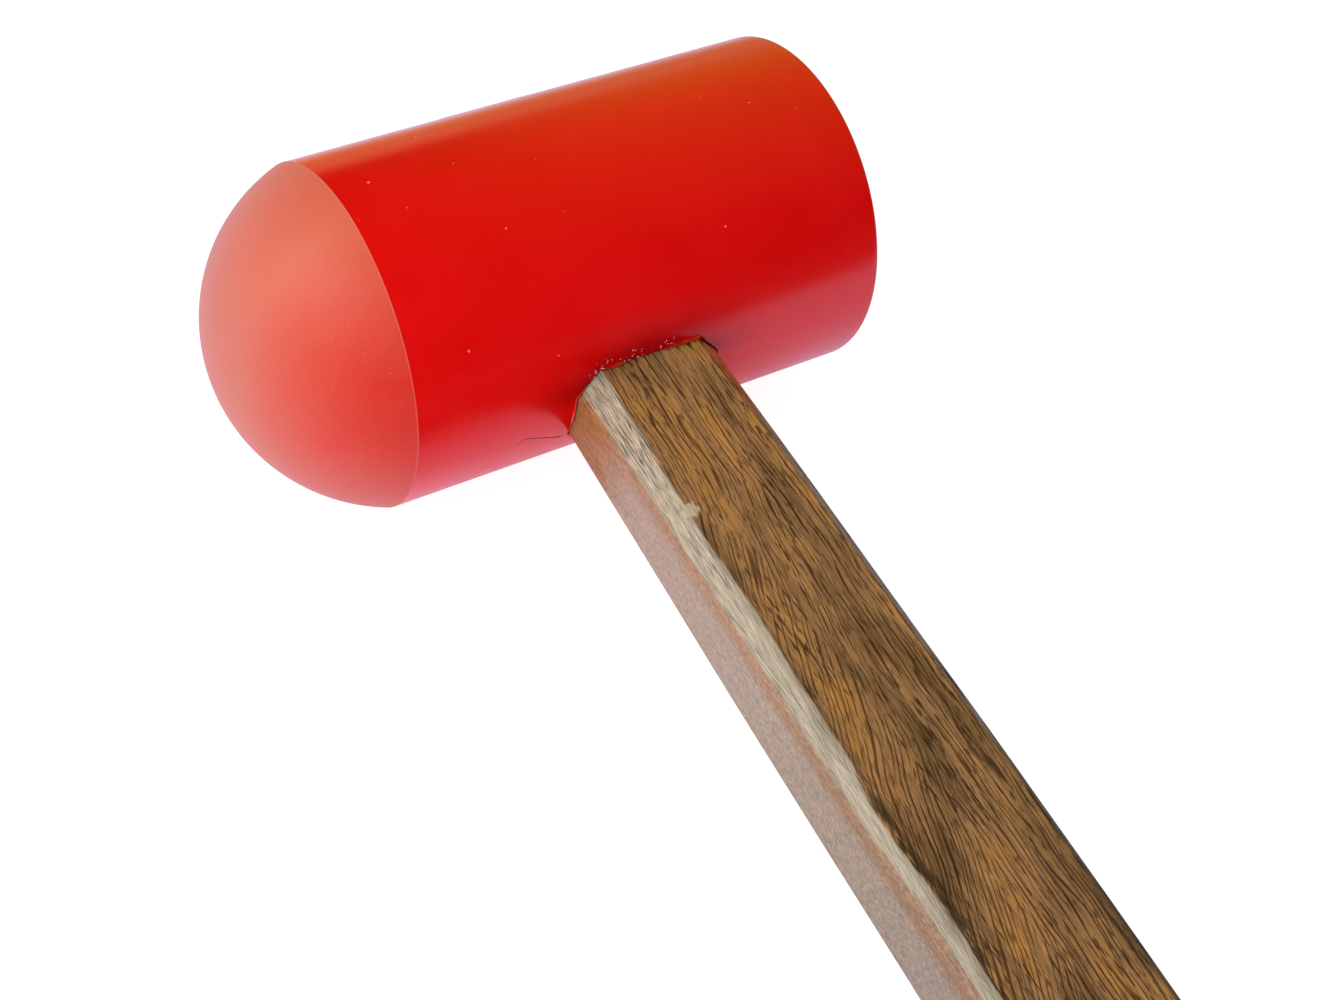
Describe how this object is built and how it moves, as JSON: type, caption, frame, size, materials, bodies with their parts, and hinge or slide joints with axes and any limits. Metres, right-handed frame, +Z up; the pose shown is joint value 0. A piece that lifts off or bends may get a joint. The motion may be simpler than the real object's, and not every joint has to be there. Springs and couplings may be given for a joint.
{
  "type": "mallet",
  "caption": "Carpenter's mallet: round solid plastic head, domed at one end and flat at the other, on a wedged octagonal walnut handle.",
  "frame": {"origin": "centre of the flat butt end of the handle", "axes": "+Y along the handle from the butt to the head, +X along the head's axis towards its flat face (the dome points to -X), +Z up from the bench the mallet lies on, across the handle's thickness"},
  "size_m": [0.1186, 0.305, 0.0636],
  "materials": {
    "head_plastic": "satin on the round bar, sanded matte and paler on the dome and the flat face",
    "walnut": "oiled satin, open pores, a strip of pale sapwood along one chamfer",
    "pale_hardwood": "sanded end grain",
    "wedge_steel": "filed flush, dull"
  },
  "bodies": {
    "root": {"mallet_head": "head_plastic", "handle": "walnut", "hardwood_wedge": "pale_hardwood", "steel_wedge": "wedge_steel"}
  },
  "joints": []
}
